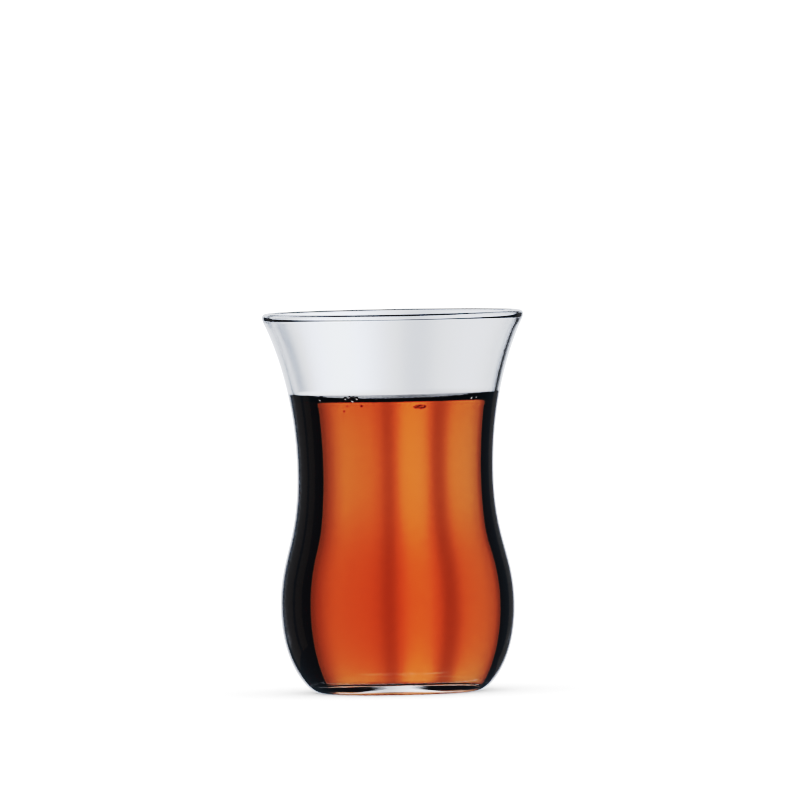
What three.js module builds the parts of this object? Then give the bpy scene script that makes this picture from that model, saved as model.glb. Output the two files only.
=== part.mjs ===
// A waisted tea glass on its own foot, filled with tea.
// Lengths in millimetres, +Z up, the foot ring rests on z = 0.
import * as THREE from 'three'

// Heights of the glass, from the foot up.
const glassHeight = 90
const bellyHeight = 20.5
const waistHeight = 52
const wallTopHeight = 86.5
const beadHeight = 89.1

// Outer radii at those heights.
const footRadius = 19
const bellyRadius = 27.72
const waistRadius = 23.25
const wallTopRadius = 29.97
const beadRadius = 30.93

// How far the flare leans out per millimetre of height at its upper end.
const flareSlope = 0.42

// Length of the curve handles on the outside, from the foot up.
const footHandle = 2.1
const bellyHandleDown = 14.3
const bellyHandleUp = 11.8
const waistHandleDown = 16.2
const waistHandleUp = 19.5
const flareHandle = 2.9
const beadHandle = 0.8

// Wall thickness measured level, and the rounded rim bead.
const wallAtRim = 1.25
const wallAtWaist = 1.2
const wallAtBelly = 1.35
const beadTopRadius = 29.95
const beadInnerRadius = 29.35
const beadInnerHeight = 89.2

// The inside runs straight up the flare for this far before it rounds into the bead.
const straightUnderBead = 1.9
const underBeadHandle = 0.5
const innerBeadHandle = 0.4

// The inside is widest a little above the belly, and has handles of its own below the waist.
const innerBellyLift = 0.5
const innerWaistHandleDown = 15.7
const innerBellyHandleDown = 13

// Bottom of the glass: the floor under the tea and the hollow underneath.
const floorHeight = 3.65
const floorRadius = 17.4
const floorHandle = 3
const hollowRadius = 12
const hollowDepth = 0.8

// The tea and how it climbs the wall.
const teaHeight = 69.2
const climbHeight = 1.6
const climbLength = 1.5
const teaClearance = 0.3
const surfaceDistances = [0.5, 1.1, 1.9, 3.1, 5.5]

// Flat sides around the turned shapes, and straight steps along each stretch of profile.
const sidesAround = 60
const steps = {
  hollow: 5,
  footToBelly: 10,
  bellyToWaist: 7,
  waistToFlare: 6,
  flareToBead: 3,
  bead: 4,
  innerBead: 3,
  innerFlare: 9,
  innerWaist: 7,
  innerBelly: 9,
}

function point(radius, height) {
  return new THREE.Vector2(radius, height)
}

// A smooth stretch of profile between two points, with its two handles.
function stretch(from, handleA, handleB, to, count) {
  return new THREE.CubicBezierCurve(from, handleA, handleB, to).getPoints(count)
}

// Part of an ellipse, angles in degrees.
function ellipsePart(centre, across, up, start, end, count) {
  const points = []
  for (let step = 0; step <= count; step += 1) {
    const angle = THREE.MathUtils.degToRad(start + (end - start) * step / count)
    points.push(point(centre.x + across * Math.cos(angle), centre.y + up * Math.sin(angle)))
  }
  return points
}

// Stretches joined into one line, without the doubled points between them.
function joined(...stretches) {
  const line = []
  for (const points of stretches) {
    for (const next of points) {
      const last = line[line.length - 1]
      if (!last || last.distanceTo(next) > 0.001) {
        line.push(next)
      }
    }
  }
  return line
}

// A point moved along the lean of the flare.
function alongFlare(from, distance) {
  const lean = point(flareSlope, 1).normalize()
  return from.clone().addScaledVector(lean, distance)
}

// The shallow hollow under the foot, a parabola that is deepest on the axis.
function hollowLine() {
  const points = []
  for (let step = 0; step <= steps.hollow; step += 1) {
    const radius = hollowRadius * step / steps.hollow
    points.push(point(radius, hollowDepth * (1 - (radius / hollowRadius) ** 2)))
  }
  return points
}

function outerLine() {
  const foot = point(footRadius, 0)
  const belly = point(bellyRadius, bellyHeight)
  const waist = point(waistRadius, waistHeight)
  const wallTop = point(wallTopRadius, wallTopHeight)
  const bead = point(beadRadius, beadHeight)
  const footOut = point(footRadius + footHandle, 0)
  const belowBelly = point(bellyRadius, bellyHeight - bellyHandleDown)
  const aboveBelly = point(bellyRadius, bellyHeight + bellyHandleUp)
  const belowWaist = point(waistRadius, waistHeight - waistHandleDown)
  const aboveWaist = point(waistRadius, waistHeight + waistHandleUp)
  const belowBead = point(beadRadius, beadHeight - beadHandle)
  return joined(
    stretch(foot, footOut, belowBelly, belly, steps.footToBelly),
    stretch(belly, aboveBelly, belowWaist, waist, steps.bellyToWaist),
    stretch(waist, aboveWaist, alongFlare(wallTop, -flareHandle), wallTop, steps.waistToFlare),
    stretch(wallTop, alongFlare(wallTop, beadHandle), belowBead, bead, steps.flareToBead),
  )
}

function beadLine() {
  const outerCentre = point(beadTopRadius, beadHeight)
  const innerCentre = point(beadTopRadius, beadInnerHeight)
  const outerReach = beadRadius - beadTopRadius
  const innerReach = beadTopRadius - beadInnerRadius
  return joined(
    ellipsePart(outerCentre, outerReach, glassHeight - beadHeight, 0, 90, steps.bead),
    ellipsePart(innerCentre, innerReach, glassHeight - beadInnerHeight, 90, 180, steps.bead),
  )
}

// The inside, from the bead down to the edge of the flat floor.
function innerLine() {
  const waistInner = waistRadius - wallAtWaist
  const bellyInner = bellyRadius - wallAtBelly
  const bead = point(beadInnerRadius, beadInnerHeight)
  const wallTop = point(wallTopRadius - wallAtRim, wallTopHeight)
  const waist = point(waistInner, waistHeight)
  const belly = point(bellyInner, bellyHeight + innerBellyLift)
  const floor = point(floorRadius, floorHeight)
  const underBead = alongFlare(wallTop, straightUnderBead)
  const belowBead = point(beadInnerRadius, beadInnerHeight - innerBeadHandle)
  const aboveWaist = point(waistInner, waistHeight + waistHandleUp)
  const belowWaist = point(waistInner, waistHeight - innerWaistHandleDown)
  const aboveBelly = point(bellyInner, belly.y + bellyHandleUp)
  const belowBelly = point(bellyInner, belly.y - innerBellyHandleDown)
  const beforeFloor = point(floorRadius + floorHandle, floorHeight)
  return joined(
    stretch(bead, belowBead, alongFlare(underBead, underBeadHandle), underBead, steps.innerBead),
    [underBead, wallTop],
    stretch(wallTop, alongFlare(wallTop, -flareHandle), aboveWaist, waist, steps.innerFlare),
    stretch(waist, belowWaist, aboveBelly, belly, steps.innerWaist),
    stretch(belly, belowBelly, beforeFloor, floor, steps.innerBelly),
  )
}

// The tea follows the inside a small clearance in from the wall, then climbs
// to a lip where it meets the wall: height falls off as exp(-distance / length).
function teaLine() {
  const contact = teaHeight + climbHeight
  const inside = innerLine().reverse()
  const wall = []
  for (let index = 0; index < inside.length; index += 1) {
    const before = inside[Math.max(index - 1, 0)]
    const after = inside[Math.min(index + 1, inside.length - 1)]
    const along = after.clone().sub(before).normalize()
    const inward = point(-along.y, along.x)
    const moved = inside[index].clone().addScaledVector(inward, teaClearance)
    if (moved.y > contact) {
      const last = wall[wall.length - 1]
      wall.push(last.clone().lerp(moved, (contact - last.y) / (moved.y - last.y)))
      break
    }
    wall.push(moved)
  }
  const lip = wall[wall.length - 1]
  const surface = []
  for (const distance of surfaceDistances) {
    const height = teaHeight + climbHeight * Math.exp(-distance / climbLength)
    surface.push(point(lip.x - distance, height))
  }
  const bottom = point(0, floorHeight + teaClearance)
  return [bottom, ...wall, ...surface, point(0, teaHeight)]
}

// A line turned about the upright axis into one closed solid.
function turned(name, line, material) {
  const mesh = new THREE.Mesh(new THREE.LatheGeometry(line, sidesAround), material)
  mesh.name = name
  mesh.rotation.x = Math.PI / 2
  return mesh
}

const clearGlass = new THREE.MeshStandardMaterial({ color: 0xe6eef0, roughness: 0.02, metalness: 0 })
const blackTea = new THREE.MeshStandardMaterial({ color: 0xb5431c, roughness: 0.02, metalness: 0 })

const glassLine = joined(hollowLine(), outerLine(), beadLine(), innerLine(), [point(0, floorHeight)])

const part = new THREE.Group()
part.name = 'tea_glass'
part.add(turned('glass', glassLine, clearGlass))
part.add(turned('tea', teaLine(), blackTea))

export default part
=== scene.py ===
import math
import bpy
import numpy as np
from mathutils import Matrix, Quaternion, Vector


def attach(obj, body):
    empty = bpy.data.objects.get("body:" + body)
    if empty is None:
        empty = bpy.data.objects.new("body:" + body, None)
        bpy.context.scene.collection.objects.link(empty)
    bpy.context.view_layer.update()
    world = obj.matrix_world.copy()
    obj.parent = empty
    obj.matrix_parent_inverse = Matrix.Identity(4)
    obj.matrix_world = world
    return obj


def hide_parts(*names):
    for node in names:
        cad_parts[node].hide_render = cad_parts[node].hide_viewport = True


# A waisted tea glass filled with tea, lit from behind so that the tea glows.
# The two CAD solids are replaced by finely turned surfaces of the same form, with real
# glass and a real liquid; the lip of the tea at the wall alone is 0.3 mm higher.
# All settings are in millimetres.

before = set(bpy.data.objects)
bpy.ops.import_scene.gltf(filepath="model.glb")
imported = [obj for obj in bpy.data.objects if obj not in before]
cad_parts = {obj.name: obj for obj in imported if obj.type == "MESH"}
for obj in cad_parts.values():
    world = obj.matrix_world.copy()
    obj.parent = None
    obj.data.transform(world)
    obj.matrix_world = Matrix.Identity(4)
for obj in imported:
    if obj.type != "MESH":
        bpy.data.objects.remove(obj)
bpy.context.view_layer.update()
mm = 0.001


# Node helpers.

def linearColour(hexColour):
    # sRGB to linear: c / 12.92 up to 0.04045, else ((c + 0.055) / 1.055) ** 2.4
    values = [int(hexColour[i:i + 2], 16) / 255 for i in (1, 3, 5)]
    return [v / 12.92 if v <= 0.04045 else ((v + 0.055) / 1.055) ** 2.4 for v in values] + [1]


def addNode(tree, kind, settings=None, links=None):
    # settings: attribute or input name to value; links: input name to an output socket
    node = tree.nodes.new(kind)
    for name, value in (settings or {}).items():
        if hasattr(node, name):
            setattr(node, name, value)
        else:
            node.inputs[name].default_value = value
    for name, output in (links or {}).items():
        tree.links.new(output, node.inputs[name])
    return node


def newMaterial(name):
    # a node material without any node yet
    material = bpy.data.materials.new(name)
    material.use_nodes = True
    material.node_tree.nodes.clear()
    return material, material.node_tree


# Profile helpers, all in (radius, height).

def curveLine(start, handleA, handleB, end, steps):
    # cubic Bezier: (1-t)^3 a + 3 (1-t)^2 t b + 3 (1-t) t^2 c + t^3 d, t along the whole array
    t = np.linspace(0, 1, steps + 1)[:, None]
    a, b, c, d = (np.asarray(p, float) for p in (start, handleA, handleB, end))
    return (1 - t) ** 3 * a + 3 * (1 - t) ** 2 * t * b + 3 * (1 - t) * t ** 2 * c + t ** 3 * d


def ellipseLine(centre, across, up, startDegrees, endDegrees, steps):
    # centre + (across cos angle, up sin angle), angle in even steps
    angle = np.radians(np.linspace(startDegrees, endDegrees, steps + 1))
    return np.c_[centre[0] + across * np.cos(angle), centre[1] + up * np.sin(angle)]


def joinLines(*lines):
    # end to end, without the doubled points where one line meets the next
    shortest = 1e-4
    whole = np.vstack(lines)
    step = np.hypot(*np.diff(whole, axis=0).T)
    return whole[np.r_[True, step > shortest]]


def turnedMesh(name, line, sides, sharpDegrees=35):
    # surface of revolution: (r(s) cos a, r(s) sin a, z(s)); the line starts and ends
    # on the axis, each end closed by a fan round one pole
    line = np.asarray(line, float) * mm
    ring = line[1:-1]
    angle = np.linspace(0, 2 * np.pi, sides, endpoint=False)
    grid = np.stack([
        np.outer(ring[:, 0], np.cos(angle)),
        np.outer(ring[:, 0], np.sin(angle)),
        np.repeat(ring[:, 1:2], sides, axis=1),
    ], axis=-1)
    rows, cols = np.meshgrid(np.arange(len(ring) - 1), np.arange(sides), indexing="ij")
    nextCols = (cols + 1) % sides
    quads = np.stack([
        rows * sides + cols, rows * sides + nextCols,
        (rows + 1) * sides + nextCols, (rows + 1) * sides + cols,
    ], axis=-1).reshape(-1, 4)
    around = np.arange(sides)
    following = (around + 1) % sides
    firstPole = len(ring) * sides
    lastRow = (len(ring) - 1) * sides
    lowerFan = np.stack([np.full(sides, firstPole), following, around], axis=-1)
    upperFan = np.stack([np.full(sides, firstPole + 1), lastRow + around, lastRow + following], axis=-1)
    points = np.vstack([grid.reshape(-1, 3), [0, 0, line[0, 1]], [0, 0, line[-1, 1]]])
    mesh = bpy.data.meshes.new(name)
    mesh.from_pydata(points.tolist(), [], quads.tolist() + lowerFan.tolist() + upperFan.tolist())
    mesh.polygons.foreach_set("use_smooth", np.ones(len(mesh.polygons), bool))
    mesh.set_sharp_from_angle(angle=math.radians(sharpDegrees))
    mesh.update()
    piece = bpy.data.objects.new(name, mesh)
    bpy.context.scene.collection.objects.link(piece)
    return piece


# The glass.

glassShape = {
    # outside, from the foot up: (radius, height) and the lengths of the curve handles
    "height": 90,
    "footRadius": 19, "footHandle": 2.1,
    "belly": (27.72, 20.5), "bellyHandleDown": 14.3, "bellyHandleUp": 11.8,
    "waist": (23.25, 52), "waistHandleDown": 16.2, "waistHandleUp": 19.5,
    "wallTop": (29.97, 86.5), "flareSlope": 0.42, "flareHandle": 2.9,
    "bead": (30.93, 89.1), "beadHandle": 0.8,
    # the rounded rim and the straight part of the inside below it
    "beadTopRadius": 29.95, "beadInner": (29.35, 89.2), "innerBeadHandle": 0.4,
    "straightUnderBead": 1.9, "underBeadHandle": 0.5,
    # wall thickness measured level, and what the inside has of its own
    "wallAtRim": 1.25, "wallAtWaist": 1.2, "wallAtBelly": 1.35,
    "innerWaistHandleDown": 15.7, "innerBellyLift": 0.5, "innerBellyHandleDown": 13,
    "floorHeight": 3.65, "floorRadius": 17.4, "floorHandle": 3,
    "hollowRadius": 12, "hollowDepth": 0.8,
    # sides around, and steps along each stretch of the profile
    "sides": 240,
    "wallSteps": 36, "beadSteps": 12, "rimSteps": 18, "underBeadSteps": 14, "straightSteps": 3,
    "hollowSteps": 20,
}


def alongFlare(start, distance):
    # start + distance times the unit lean (slope, 1) of the flare
    lean = np.array([glassShape["flareSlope"], 1.0])
    return np.asarray(start, float) + distance * lean / np.hypot(*lean)


def outerWall():
    # four Bezier stretches: foot to belly, belly to waist, waist to flare, flare to bead
    s = glassShape
    steps, reach = s["wallSteps"], s["beadHandle"]
    bellyR, bellyZ = s["belly"]
    waistR, waistZ = s["waist"]
    beadR, beadZ = s["bead"]
    return joinLines(
        curveLine((s["footRadius"], 0), (s["footRadius"] + s["footHandle"], 0),
                  (bellyR, bellyZ - s["bellyHandleDown"]), s["belly"], steps),
        curveLine(s["belly"], (bellyR, bellyZ + s["bellyHandleUp"]),
                  (waistR, waistZ - s["waistHandleDown"]), s["waist"], steps),
        curveLine(s["waist"], (waistR, waistZ + s["waistHandleUp"]),
                  alongFlare(s["wallTop"], -s["flareHandle"]), s["wallTop"], steps),
        curveLine(s["wallTop"], alongFlare(s["wallTop"], reach),
                  (beadR, beadZ - reach), s["bead"], s["beadSteps"]),
    )


def rimBead():
    # two quarter ellipses that meet at the top of the rim
    s = glassShape
    topR, steps = s["beadTopRadius"], s["rimSteps"]
    outerR, outerZ = s["bead"]
    innerR, innerZ = s["beadInner"]
    return joinLines(
        ellipseLine((topR, outerZ), outerR - topR, s["height"] - outerZ, 0, 90, steps),
        ellipseLine((topR, innerZ), topR - innerR, s["height"] - innerZ, 90, 180, steps),
    )


def innerWall():
    # from the top down, all Bezier stretches: bead to wall, straight down the flare,
    # flare to waist, waist to belly, belly into the flat floor
    s = glassShape
    steps = s["wallSteps"]
    bellyR, bellyZ = s["belly"][0] - s["wallAtBelly"], s["belly"][1] + s["innerBellyLift"]
    waistR, waistZ = s["waist"][0] - s["wallAtWaist"], s["waist"][1]
    wallTop = (s["wallTop"][0] - s["wallAtRim"], s["wallTop"][1])
    underBead = alongFlare(wallTop, s["straightUnderBead"])
    third = s["straightUnderBead"] / 3
    innerR, innerZ = s["beadInner"]
    return joinLines(
        curveLine(s["beadInner"], (innerR, innerZ - s["innerBeadHandle"]),
                  alongFlare(underBead, s["underBeadHandle"]), underBead, s["underBeadSteps"]),
        curveLine(underBead, alongFlare(underBead, -third),
                  alongFlare(wallTop, third), wallTop, s["straightSteps"]),
        curveLine(wallTop, alongFlare(wallTop, -s["flareHandle"]),
                  (waistR, waistZ + s["waistHandleUp"]), (waistR, waistZ), steps),
        curveLine((waistR, waistZ), (waistR, waistZ - s["innerWaistHandleDown"]),
                  (bellyR, bellyZ + s["bellyHandleUp"]), (bellyR, bellyZ), steps),
        curveLine((bellyR, bellyZ), (bellyR, bellyZ - s["innerBellyHandleDown"]),
                  (s["floorRadius"] + s["floorHandle"], s["floorHeight"]),
                  (s["floorRadius"], s["floorHeight"]), steps),
    )


def hollowUnderFoot():
    # parabola: depth (1 - (r / R)^2), deepest on the axis
    r = np.linspace(0, 1, glassShape["hollowSteps"] + 1)
    return np.c_[r * glassShape["hollowRadius"], glassShape["hollowDepth"] * (1 - r ** 2)]


def makeGlass():
    # one closed line turned about the axis: under the foot, up the outside, over the rim,
    # down the inside and across the floor
    line = joinLines(hollowUnderFoot(), outerWall(), rimBead(), innerWall(),
                     [[0, glassShape["floorHeight"]]])
    return turnedMesh("glass_wall", line, glassShape["sides"])


# Soda-lime glass, pressed in a mould and fire polished: water clear with hard edges of
# light and dark, and a long faint waviness left by the mould that bends them a little.
def pressedSodaLimeGlass():
    look = {"ior": 1.52, "waveScale": 14, "waveHeight": 0.004, "edgeTint": "#e4f3ee", "tintDensity": 3.0}
    material, tree = newMaterial("pressedSodaLimeGlass")
    place = addNode(tree, "ShaderNodeTexCoord")
    wave = addNode(tree, "ShaderNodeTexNoise",
                   {"Scale": 1 / (look["waveScale"] * mm), "Detail": 2.0, "Roughness": 0.4},
                   {"Vector": place.outputs["Object"]})
    ripple = addNode(tree, "ShaderNodeBump", {"Strength": 1.0, "Distance": look["waveHeight"] * mm},
                     {"Height": wave.outputs["Fac"]})
    shader = addNode(tree, "ShaderNodeBsdfPrincipled",
                     {"Base Color": linearColour("#ffffff"), "Roughness": 0.0, "IOR": look["ior"],
                      "Transmission Weight": 1.0},
                     {"Normal": ripple.outputs["Normal"]})
    tint = addNode(tree, "ShaderNodeVolumeAbsorption",
                   {"Color": linearColour(look["edgeTint"]), "Density": look["tintDensity"]})
    addNode(tree, "ShaderNodeOutputMaterial", None,
            {"Surface": shader.outputs[0], "Volume": tint.outputs[0]})
    return material


# The tea.

teaShape = {
    "level": 69.2,          # flat surface
    "climb": 1.9,           # how far the tea climbs the wall
    "climbLength": 1.25,    # how fast the climb dies away from the wall
    "climbReach": 10,       # beyond this the surface is flat
    "climbRings": 60,       # close together at the wall, where the surface is steep
    "intoWall": 0.15,       # reaches into the glass, so that no air gap shows
    "sides": 240,
}


def makeTea():
    # the inside of the glass moved outward along its own normal, then the surface:
    # level + climb exp(-distance from the wall / climbLength)
    s = teaShape
    contact = s["level"] + s["climb"]
    inside = innerWall()[::-1]
    below = inside[inside[:, 1] < contact]
    contactR = np.interp(contact, inside[:, 1], inside[:, 0])
    wall = np.vstack([below, [[contactR, contact]]])
    along = np.gradient(wall, axis=0)
    outward = np.c_[along[:, 1], -along[:, 0]]
    outward /= np.linalg.norm(outward, axis=1)[:, None]
    wall = wall + outward * s["intoWall"]
    distance = np.linspace(0, 1, s["climbRings"]) ** 3 * s["climbReach"]
    climb = s["climb"] * np.exp(-distance / s["climbLength"])
    surface = np.c_[contactR - distance, s["level"] + climb]
    bottom = [[0, glassShape["floorHeight"] - s["intoWall"]]]
    line = joinLines(bottom, wall, surface, [[0, s["level"]]])
    return turnedMesh("tea_fill", line, s["sides"])


# Black tea, brewed strong and strained clear: a thin layer is amber, a deep one red brown,
# because it takes away blue first, then green. Its surface is still and glossy as water.
def strainedBlackTea():
    look = {
        "ior": 1.333,
        "absorbed": (13.0, 51.8, 82.0),     # how fast red, green and blue fade, per metre
        "darkestChannel": 0.02,             # of the colour that the absorption node gets
        "rippleScale": 6, "rippleHeight": 0.0015,
    }
    # the node fades light by density x (1 - colour), so colour = 1 - absorbed / density
    absorbed = np.array(look["absorbed"])
    density = absorbed.max() / (1 - look["darkestChannel"])
    colour = [*(1 - absorbed / density), 1]
    material, tree = newMaterial("strainedBlackTea")
    place = addNode(tree, "ShaderNodeTexCoord")
    swirl = addNode(tree, "ShaderNodeTexNoise",
                    {"Scale": 1 / (look["rippleScale"] * mm), "Detail": 1.0, "Distortion": 0.6},
                    {"Vector": place.outputs["Object"]})
    ripple = addNode(tree, "ShaderNodeBump", {"Strength": 1.0, "Distance": look["rippleHeight"] * mm},
                     {"Height": swirl.outputs["Fac"]})
    shader = addNode(tree, "ShaderNodeBsdfPrincipled",
                     {"Base Color": linearColour("#ffffff"), "Roughness": 0.0, "IOR": look["ior"],
                      "Transmission Weight": 1.0},
                     {"Normal": ripple.outputs["Normal"]})
    liquid = addNode(tree, "ShaderNodeVolumeAbsorption", {"Color": colour, "Density": density})
    addNode(tree, "ShaderNodeOutputMaterial", None,
            {"Surface": shader.outputs[0], "Volume": liquid.outputs[0]})
    return material


# What floats at the edge of the tea: air bubbles against the glass and specks of leaf.

edgeShape = {
    # across (from the axis, left negative), height of the middle, radius
    "bubbles": [(-16.9, 70.25, 0.55), (-11.2, 70.35, 0.42), (-10.3, 70.65, 0.3), (-9.5, 70.1, 0.68),
                (-8.6, 70.4, 0.42), (17.6, 70.25, 0.6), (18.7, 70.25, 0.5)],
    "bubbleGrip": 0.15,     # how far a bubble presses into the wetted wall
    "specks": [(-7.5, 68.5, 0.34), (-10.8, 68.5, 0.22), (-11.5, 67.3, 0.24)],
    # raft of specks: across, height, half width, half height
    "raft": (5.9, 68.15, 1.4, 0.5), "raftSpecks": 54, "raftSpeck": (0.1, 0.22),
    "speckDepth": 0.5, "speckHeight": (0.5, 0.9),   # of its width
    "speckGap": 0.1, "seed": 7,
    "around": 20, "rows": 12,                       # faces of one ball
}


def onFrontWall(across, height, inward):
    # the front point of the inside wall at each height, moved inward along the radius:
    # (across, -sqrt(radius^2 - across^2), height)
    inside = innerWall()[::-1]
    radius = np.interp(height, inside[:, 1], inside[:, 0]) - inward
    return np.c_[across, -np.sqrt(radius ** 2 - across ** 2), height]


def joinedBalls(name, centres, halfSizes):
    # every ball at once: centre + half size x (cos a cos e, sin a cos e, sin e),
    # a round the upright, e from pole to pole
    around, rows = edgeShape["around"], edgeShape["rows"]
    a = np.linspace(0, 2 * np.pi, around, endpoint=False)
    e = np.linspace(-np.pi / 2, np.pi / 2, rows + 1)[1:-1]
    ring = np.stack([np.outer(np.cos(e), np.cos(a)), np.outer(np.cos(e), np.sin(a)),
                     np.repeat(np.sin(e)[:, None], around, axis=1)], axis=-1).reshape(-1, 3)
    ball = np.vstack([ring, [0, 0, -1], [0, 0, 1]])
    points = (centres[:, None, :] + halfSizes[:, None, :] * ball[None]).reshape(-1, 3) * mm
    row, col = np.meshgrid(np.arange(rows - 2), np.arange(around), indexing="ij")
    after = (col + 1) % around
    quads = np.stack([row * around + col, row * around + after,
                      (row + 1) * around + after, (row + 1) * around + col], axis=-1).reshape(-1, 4)
    edge = np.arange(around)
    nextEdge = (edge + 1) % around
    last = (rows - 2) * around
    lower = np.stack([np.full(around, len(ring)), nextEdge, edge], axis=-1)
    upper = np.stack([np.full(around, len(ring) + 1), last + edge, last + nextEdge], axis=-1)
    start = (np.arange(len(centres)) * len(ball))[:, None, None]
    faces = []
    for corners in (quads, lower, upper):
        faces += (corners[None] + start).reshape(-1, corners.shape[1]).tolist()
    mesh = bpy.data.meshes.new(name)
    mesh.from_pydata(points.tolist(), [], faces)
    mesh.polygons.foreach_set("use_smooth", np.ones(len(mesh.polygons), bool))
    mesh.update()
    piece = bpy.data.objects.new(name, mesh)
    bpy.context.scene.collection.objects.link(piece)
    return piece


def makeBubbles():
    # balls that touch the wall: the middle is one radius in from it, less the grip
    across, height, radius = np.array(edgeShape["bubbles"]).T
    centres = onFrontWall(across, height, radius - edgeShape["bubbleGrip"])
    return joinedBalls("edge_bubbles", centres, np.repeat(radius[:, None], 3, axis=1))


def makeSpecks():
    # three single specks and a raft: places drawn evenly inside an ellipse
    s = edgeShape
    draw = np.random.default_rng(s["seed"])
    count = s["raftSpecks"]
    x, z, halfWide, halfHigh = s["raft"]
    angle, reach = draw.uniform(0, 2 * np.pi, count), np.sqrt(draw.uniform(0, 1, count))
    raft = np.c_[x + halfWide * reach * np.cos(angle), z + halfHigh * reach * np.sin(angle),
                 draw.uniform(*s["raftSpeck"], count)]
    across, height, radius = np.vstack([s["specks"], raft]).T
    total = len(radius)
    squash = np.c_[np.ones(total), np.full(total, s["speckDepth"]),
                   draw.uniform(*s["speckHeight"], total)]
    centres = onFrontWall(across, height, radius + s["speckGap"])
    return joinedBalls("leaf_specks", centres, radius[:, None] * squash)


# Air bubbles in a thin skin of tea, clear and glossy: each is a bright dot with a dark edge.
def thinTeaSkin():
    look = {"colour": "#fff8f2", "ior": 1.33, "roughness": 0.05,
            "filmScale": 0.4, "filmHeight": 0.004}
    material, tree = newMaterial("thinTeaSkin")
    place = addNode(tree, "ShaderNodeTexCoord")
    film = addNode(tree, "ShaderNodeTexNoise", {"Scale": 1 / (look["filmScale"] * mm)},
                   {"Vector": place.outputs["Object"]})
    bump = addNode(tree, "ShaderNodeBump", {"Distance": look["filmHeight"] * mm},
                   {"Height": film.outputs["Fac"]})
    shader = addNode(tree, "ShaderNodeBsdfPrincipled",
                     {"Base Color": linearColour(look["colour"]), "Roughness": look["roughness"],
                      "IOR": look["ior"], "Transmission Weight": 1.0},
                     {"Normal": bump.outputs["Normal"]})
    addNode(tree, "ShaderNodeOutputMaterial", None, {"Surface": shader.outputs[0]})
    return material


# Fine dust of rolled black tea leaf, soaked until light comes through: dark red brown,
# uneven from grain to grain.
def soakedLeafDust():
    look = {"dark": "#7a2410", "light": "#b8441f", "grain": 0.15, "roughness": 0.12, "ior": 1.36}
    material, tree = newMaterial("soakedLeafDust")
    place = addNode(tree, "ShaderNodeTexCoord")
    grain = addNode(tree, "ShaderNodeTexNoise", {"Scale": 1 / (look["grain"] * mm), "Detail": 3.0},
                    {"Vector": place.outputs["Object"]})
    shade = addNode(tree, "ShaderNodeMix", {"data_type": "RGBA"}, {"Factor": grain.outputs["Fac"]})
    shade.inputs[6].default_value = linearColour(look["dark"])
    shade.inputs[7].default_value = linearColour(look["light"])
    shader = addNode(tree, "ShaderNodeBsdfPrincipled",
                     {"Roughness": look["roughness"], "IOR": look["ior"], "Transmission Weight": 1.0},
                     {"Base Color": shade.outputs[2]})
    addNode(tree, "ShaderNodeOutputMaterial", None, {"Surface": shader.outputs[0]})
    return material


print("stage: glass")
glass = makeGlass()
glass.data.materials.append(pressedSodaLimeGlass())
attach(glass, "root")
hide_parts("glass")

print("stage: tea")
tea = makeTea()
tea.data.materials.append(strainedBlackTea())
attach(tea, "root")
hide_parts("tea")

print("stage: bubbles and specks")
for floating, finish in ((makeBubbles(), thinTeaSkin()), (makeSpecks(), soakedLeafDust())):
    floating.data.materials.append(finish)
    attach(floating, "root")


# Floor, light and camera.

studio = {
    "floorSize": 8000, "floorDrop": 0.02,
    "floorColours": ("#f7f7f7", "#fafafa"), "flecksPerMetre": 60.0,
    "behind": 278,                      # light panel behind the axis
    "bottom": -65, "top": 190,          # heights above the foot
    "rigHeight": 45,                    # the point that the rig turns about
    "worldLight": 1.35, "lampLight": 0.84, "lampColour": (0.94, 1.0, 1.12),
    "darkRoom": 0.002, "roomVeil": (0.02, 0.032, 0.045),
    # brightness along the panel from left to right; the two dips stand for the gaps
    # between its three lamps and give the dark stripes in the tea
    "ramp": [(-192, .16), (-180, .19), (-160, .37), (-130, .51), (-100, .6), (-75, .6), (-64, .45),
             (-55, .35), (-46, .44), (-34, .78), (-20, .93), (-8, .82), (2, .5), (9, .4), (16, .52),
             (26, .63), (45, .65), (70, .6), (90, .4), (106, .23), (120, .15)],
    # the part of it that the outer gloss shows, which keeps the light edge of the glass thin
    "glossRamp": [(-150, 0), (-110, .42), (-60, .6), (70, .6), (120, .15)],
    # dim cards beside the glass, only for its outer gloss: distance, the angles they fill
    # counted from the camera (left positive), and brightness
    "cards": [(400, 107, 119, .07), (400, 124, 147, .07), (400, -160, -140, .08)],
    "cardFoot": -150, "cardTop": 250,   # counted from the rig's height
    "cardColour": "#e9eef8",
}


def flatPanel(name, corners):
    # one flat face through its four corners
    mesh = bpy.data.meshes.new(name)
    mesh.from_pydata((np.asarray(corners, float) * mm).tolist(), [], [(0, 1, 2, 3)])
    mesh.update()
    panel = bpy.data.objects.new(name, mesh)
    bpy.context.scene.collection.objects.link(panel)
    return panel


def seenBy(thing, rays):
    # shows a thing to the named kinds of ray and to no other
    for kind in ("camera", "diffuse", "glossy", "transmission", "volume_scatter", "shadow"):
        setattr(thing, "visible_" + kind, kind in rays)


# Matt white floor paint, rolled on: an even white with hardly visible flecks.
def paintedStudioFloor():
    material, tree = newMaterial("paintedStudioFloor")
    grain = addNode(tree, "ShaderNodeTexNoise", {"Scale": studio["flecksPerMetre"], "Detail": 3.0},
                    {"Vector": addNode(tree, "ShaderNodeTexCoord").outputs["Object"]})
    shade = addNode(tree, "ShaderNodeMix", {"data_type": "RGBA"}, {"Factor": grain.outputs["Fac"]})
    for place, colour in zip((6, 7), studio["floorColours"]):
        shade.inputs[place].default_value = linearColour(colour)
    paint = addNode(tree, "ShaderNodeBsdfDiffuse", None, {"Color": shade.outputs[2]})
    addNode(tree, "ShaderNodeOutputMaterial", None, {"Surface": paint.outputs[0]})
    return material


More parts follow.
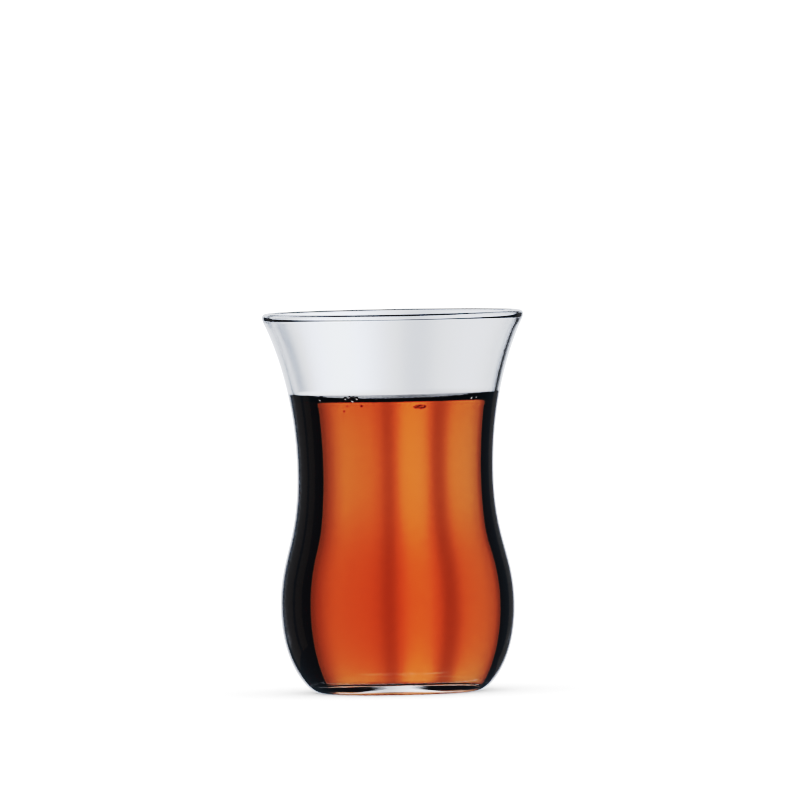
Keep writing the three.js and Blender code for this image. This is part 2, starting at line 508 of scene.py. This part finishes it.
def makeFloor():
    # a square just under the foot, which glass and tea don't show
    half, z = studio["floorSize"] / 2, -studio["floorDrop"]
    floor = flatPanel("floor", [(-half, -half, z), (half, -half, z), (half, half, z), (-half, half, z)])
    floor.data.materials.append(paintedStudioFloor())
    seenBy(floor, ("camera", "diffuse", "shadow"))


def softBox(name, levels, rays, rig):
    # an upright sheet of light, its brightness a smooth curve through (place, level) pairs
    s = studio
    left, right = levels[0][0], levels[-1][0]
    low, high = s["bottom"] - s["rigHeight"], s["top"] - s["rigHeight"]
    panel = flatPanel(name, [(left, s["behind"], low), (right, s["behind"], low),
                             (right, s["behind"], high), (left, s["behind"], high)])
    material, tree = newMaterial(name + "Cloth")
    across = addNode(tree, "ShaderNodeSeparateXYZ", None,
                     {"Vector": addNode(tree, "ShaderNodeTexCoord").outputs["Object"]})
    place = addNode(tree, "ShaderNodeMapRange", {"From Min": left * mm, "From Max": right * mm},
                    {"Value": across.outputs["X"]})
    ramp = addNode(tree, "ShaderNodeValToRGB", None, {"Fac": place.outputs["Result"]})
    ramp.color_ramp.interpolation = "CARDINAL"
    stops = ramp.color_ramp.elements
    for index, (x, level) in enumerate(levels):
        stop = stops[index] if index < 2 else stops.new((x - left) / (right - left))
        stop.position = (x - left) / (right - left)
        stop.color = (*[level * c for c in s["lampColour"]], 1)
    lamp = addNode(tree, "ShaderNodeEmission", {"Strength": s["lampLight"]},
                   {"Color": ramp.outputs["Color"]})
    addNode(tree, "ShaderNodeOutputMaterial", None, {"Surface": lamp.outputs[0]})
    panel.data.materials.append(material)
    panel.parent = rig
    seenBy(panel, (rays,))


def makeLightRig(camera):
    # a soft box behind the glass and cards beside it, on an empty that faces the camera, so
    # every view is lit from behind, as when a glass is turned before a fixed camera and lamp
    rig = bpy.data.objects.new("lightRig", None)
    rig.location = (0, 0, studio["rigHeight"] * mm)
    bpy.context.scene.collection.objects.link(rig)
    facing = rig.constraints.new("TRACK_TO")
    facing.target = camera
    facing.track_axis = "TRACK_NEGATIVE_Y"
    facing.up_axis = "UP_Z"
    s = studio
    softBox("lightPanel", s["ramp"], "transmission", rig)
    softBox("glossPanel", s["glossRamp"], "glossy", rig)
    low, high = s["cardFoot"], s["cardTop"]
    for number, (away, first, last, level) in enumerate(s["cards"]):
        # corners at -(sin, cos) of the angle times the distance
        near, far = [(-away * math.sin(math.radians(t)), -away * math.cos(math.radians(t)))
                     for t in (first, last)]
        card = flatPanel("sideCard%d" % number, [(*near, low), (*far, low), (*far, high), (*near, high)])
        paper, tree = newMaterial("greyCard%d" % number)
        glow = addNode(tree, "ShaderNodeEmission",
                       {"Color": linearColour(s["cardColour"]), "Strength": level})
        addNode(tree, "ShaderNodeOutputMaterial", None, {"Surface": glow.outputs[0]})
        card.data.materials.append(paper)
        card.parent = rig
        seenBy(card, ("glossy",))


def makeWorld():
    # white round the object for the camera and the floor; light through glass and tea comes
    # from a dark room, which draws their black edges, with the soft box as the one bright
    # thing in it, and their gloss shows a faint bluish room
    world = bpy.data.worlds.new("studioRoom")
    bpy.context.scene.world = world
    world.use_nodes = True
    tree = world.node_tree
    tree.nodes.clear()
    path = addNode(tree, "ShaderNodeLightPath")
    bright = addNode(tree, "ShaderNodeBackground",
                     {"Color": (1, 1, 1, 1), "Strength": studio["worldLight"]})
    d = studio["darkRoom"]
    dark = addNode(tree, "ShaderNodeBackground", {"Color": (d, d, d, 1), "Strength": 1.0})
    veil = addNode(tree, "ShaderNodeBackground", {"Color": (*studio["roomVeil"], 1), "Strength": 1.0})
    gloss = addNode(tree, "ShaderNodeMixShader", None, {0: path.outputs["Is Glossy Ray"]})
    tree.links.new(bright.outputs[0], gloss.inputs[1])
    tree.links.new(veil.outputs[0], gloss.inputs[2])
    both = addNode(tree, "ShaderNodeMixShader", None, {0: path.outputs["Is Transmission Ray"]})
    tree.links.new(gloss.outputs[0], both.inputs[1])
    tree.links.new(dark.outputs[0], both.inputs[2])
    addNode(tree, "ShaderNodeOutputWorld", None, {"Surface": both.outputs[0]})


cameraPlace = {
    "distance": 3500, "eyeHeight": 170, "aim": (1.41, 0, 69.05),
    "pixelsPerMm": 4.224, "imageSize": 800, "rollDegrees": 1.05,
    "sensorWidth": 36, "nearestMetres": 0.01, "farthestMetres": 100,
}


def makeCamera():
    # lens = sensor width x pixels per mm x distance / image width
    c = cameraPlace
    data = bpy.data.cameras.new("camera")
    camera = bpy.data.objects.new("camera", data)
    bpy.context.scene.collection.objects.link(camera)
    data.sensor_width = c["sensorWidth"]
    data.lens = c["sensorWidth"] * c["pixelsPerMm"] * c["distance"] / c["imageSize"]
    data.clip_start = c["nearestMetres"]
    data.clip_end = c["farthestMetres"]
    aim = Vector(c["aim"]) * mm
    eye = Vector((c["aim"][0], -c["distance"], c["eyeHeight"])) * mm
    camera.location = eye
    camera.rotation_mode = "QUATERNION"
    roll = Quaternion((0, 0, 1), -math.radians(c["rollDegrees"]))
    camera.rotation_quaternion = (aim - eye).to_track_quat("-Z", "Y") @ roll
    bpy.context.scene.camera = camera
    return camera


film = {
    # print curve, light in the scene to light in the picture
    "curve": [(0, 0), (.03, .05), (.06, .184), (.15, .456), (.25, .65), (.5, .79), (1, 1)],
    "bounces": 24, "glossyBounces": 12,     # through two walls, the tea and the floor
}


def setFilm():
    # plain Standard view with the print curve: deep tones fall towards black in each
    # colour, bright ones reach paper white softly
    scene = bpy.context.scene
    scene.view_settings.view_transform = "Standard"
    scene.view_settings.look = "None"
    scene.view_settings.use_curve_mapping = True
    mapping = scene.view_settings.curve_mapping
    combined = mapping.curves[3]
    first, *between, last = film["curve"]
    combined.points[0].location = first
    combined.points[-1].location = last
    for x, y in between:
        combined.points.new(x, y)
    mapping.update()
    scene.cycles.max_bounces = film["bounces"]
    scene.cycles.transmission_bounces = film["bounces"]
    scene.cycles.glossy_bounces = film["glossyBounces"]


print("stage: studio")
makeFloor()
camera = makeCamera()
makeLightRig(camera)
makeWorld()
setFilm()

print("stage: finish")
